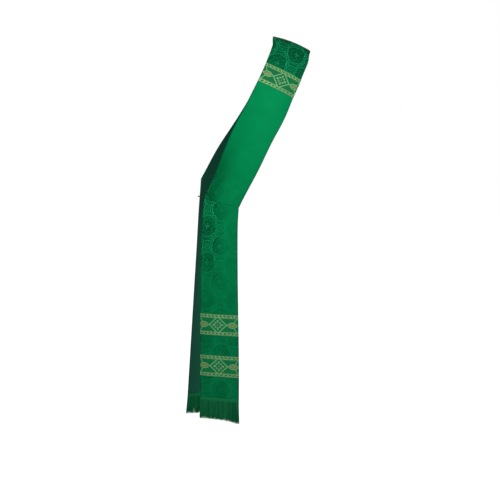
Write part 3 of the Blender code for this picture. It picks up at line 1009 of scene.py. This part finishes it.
class STOLE_OT_panels(StolePiece):
    """Make the sash and both falls of cloth"""

    bl_idname = "stole.panels"
    bl_label = "Cloth Panels"

    def execute(self, context):
        sizes, colours = self.settings(context)
        materials = [damask_cloth(colours), inner_cloth(colours)]
        columns = crowded(-HALF, HALF, sizes.column_spacing, CROWDED)

        def grid(strip, end, marks, upwards=False):
            rings = crowded(0.0, end, sizes.ring_spacing, CROWDED)
            if upwards:
                rings = rings[:0:-1]
            station, across = np.meshgrid(rings, columns, indexing="ij")
            return strip, station, across, -station if upwards else station, marks

        sash = [
            grid(back_sash, back_sash.seam, back_sash_marks, upwards=True),
            grid(front_sash, front_sash.seam, sash_marks),
        ]
        front = [grid(front_fall, FRONT_HEM_AT, fall_marks)]
        back = [grid(back_fall, BACK_HEM_AT, back_fall_marks)]
        for name, parts, hem, origin, nodes in (
            ("sash_cloth", sash, math.inf, (17.0, 88.0), ("front_sash", "back_sash")),
            ("front_fall_cloth", front, FRONT_HEM_AT, (5.0, 583.0), ("front_fall",)),
            ("back_fall_cloth", back, BACK_HEM_AT, (0.0, 600.0), ("back_fall",)),
        ):
            piece = cloth_panel(name, parts, hem, origin, materials)
            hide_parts(*nodes)
        state_cut()
        return {"FINISHED"}


class STOLE_OT_bands(StolePiece):
    """Make the three woven bands across the front"""

    bl_idname = "stole.bands"
    bl_label = "Woven Bands"

    def execute(self, context):
        sizes, colours = self.settings(context)
        for name, strip, start, cut in (
            # The shoulder band is a darker copy of the same braid: its lower ground and tone are painted
            # shade.
            ("shoulder_band", front_sash, SHOULDER_BAND_AT, Cut(offset=2.0, ground=0.68, tone=0.74)),
            ("upper_hem_band", front_fall, UPPER_HEM_BAND_AT, Cut(offset=-3.0, ground=1.0, tone=1.0)),
            ("lower_hem_band", front_fall, LOWER_HEM_BAND_AT, Cut(offset=-1.0, ground=1.0, tone=1.0)),
        ):
            braid_band(name, strip, start, cut, sizes, colours)
        return {"FINISHED"}


class STOLE_OT_fringes(StolePiece):
    """Make the fringe at each end"""

    bl_idname = "stole.fringes"
    bl_label = "Fringes"

    def execute(self, context):
        sizes, colours = self.settings(context)
        material = thread_cloth("dark green thread", colours.fringe, 0.5)
        fringe("front_fringe", front_fall, FRONT_HEM_AT, 11, sizes, material)
        fringe("back_fringe", back_fall, BACK_HEM_AT, 12, sizes, material)
        return {"FINISHED"}


class STOLE_OT_cord(StolePiece):
    """Make the cord that ties front to back at the hip"""

    bl_idname = "stole.cord"
    bl_label = "Hip Cord"

    def execute(self, context):
        _, colours = self.settings(context)
        path = cord_path()
        points, quads, plan, fine = twisted_cord(path, CORD_RADIUS, CORD_LAY)
        tone = np.full(len(points), 0.35)
        material = thread_cloth("dark green cord", colours.fringe, 0.3)
        piece = make_piece("hip_link_cord", points, quads, [material], plan, {"tone": tone})
        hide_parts("hip_link")
        [tuple(point) for point in fine[::8].tolist() + [fine[-1].tolist()]]
        return {"FINISHED"}


class STOLE_OT_stage(StolePiece):
    """Set the floor, the lights and the camera"""

    bl_idname = "stole.stage"
    bl_label = "Stage"

    def execute(self, context):
        scene = context.scene
        scene.view_settings.view_transform = "Standard"
        floor = bpy.data.meshes.new("floor")
        corners = ((-1, -1), (1, -1), (1, 1), (-1, 1))
        points = [(x * FLOOR_REACH, y * FLOOR_REACH, FLOOR_HEIGHT) for x, y in corners]
        floor.from_pydata(points, [], [(0, 1, 2, 3)])
        shade = Shade("pale floor", Roughness=0.9, Specular_IOR_Level=0.0, Emission_Strength=0.2)
        shade.wear(Base_Color=(0.86, 0.86, 0.87, 1.0), Emission_Color=(1.0, 1.0, 1.0, 1.0))
        floor.materials.append(shade.material)
        add_object("floor", floor)
        world = bpy.data.worlds.new("studio")
        scene.world = world
        world.use_nodes = True
        world.node_tree.nodes["Background"].inputs["Color"].default_value = (1.0, 1.0, 1.0, 1.0)
        lamp = bpy.data.lights.new("key light", "AREA")
        lamp.size = 0.9
        lamp.energy = 13.0
        lamp.spread = math.radians(60.0)
        holder = add_object("key light", lamp)
        holder.location = LAMP_PLACE
        holder.rotation_mode = "QUATERNION"
        aim = Vector((LAMP_AIM - LAMP_PLACE).tolist())
        holder.rotation_quaternion = aim.to_track_quat("-Z", "Y")
        camera = bpy.data.cameras.new("camera")
        camera.sensor_width = 36.0
        camera.lens = 73.1
        camera.clip_end = 50.0
        holder = add_object("camera", camera)
        holder.location = CAMERA_PLACE
        holder.rotation_euler = (math.radians(90.0 - CAMERA_DIP), 0.0, 0.0)
        scene.camera = holder
        return {"FINISHED"}


class VIEW3D_PT_stole(bpy.types.Panel):
    """Sidebar panel of the stole"""

    bl_label = "Stole"
    bl_space_type = "VIEW_3D"
    bl_region_type = "UI"
    bl_category = "Stole"

    def draw(self, context):
        for piece in PIECES:
            self.layout.operator(piece.bl_idname)
        for group in (context.scene.stole_sizes, context.scene.stole_colours):
            for setting in group.bl_rna.properties:
                if setting.identifier not in ("rna_type", "name"):
                    self.layout.prop(group, setting.identifier)


PIECES = (STOLE_OT_stage, STOLE_OT_cord, STOLE_OT_bands, STOLE_OT_fringes, STOLE_OT_panels)
CLASSES = (StoleSizes, StoleColours, *PIECES, VIEW3D_PT_stole)


def register():
    for cls in CLASSES:
        bpy.utils.register_class(cls)
    bpy.types.Scene.stole_sizes = PointerProperty(type=StoleSizes)
    bpy.types.Scene.stole_colours = PointerProperty(type=StoleColours)


def unregister():
    del bpy.types.Scene.stole_sizes
    del bpy.types.Scene.stole_colours
    for cls in reversed(CLASSES):
        bpy.utils.unregister_class(cls)


def main():
    register()
    for piece in PIECES:
        group, _, verb = piece.bl_idname.partition(".")
        getattr(getattr(bpy.ops, group), verb)()


if __name__ == "__main__":
    main()
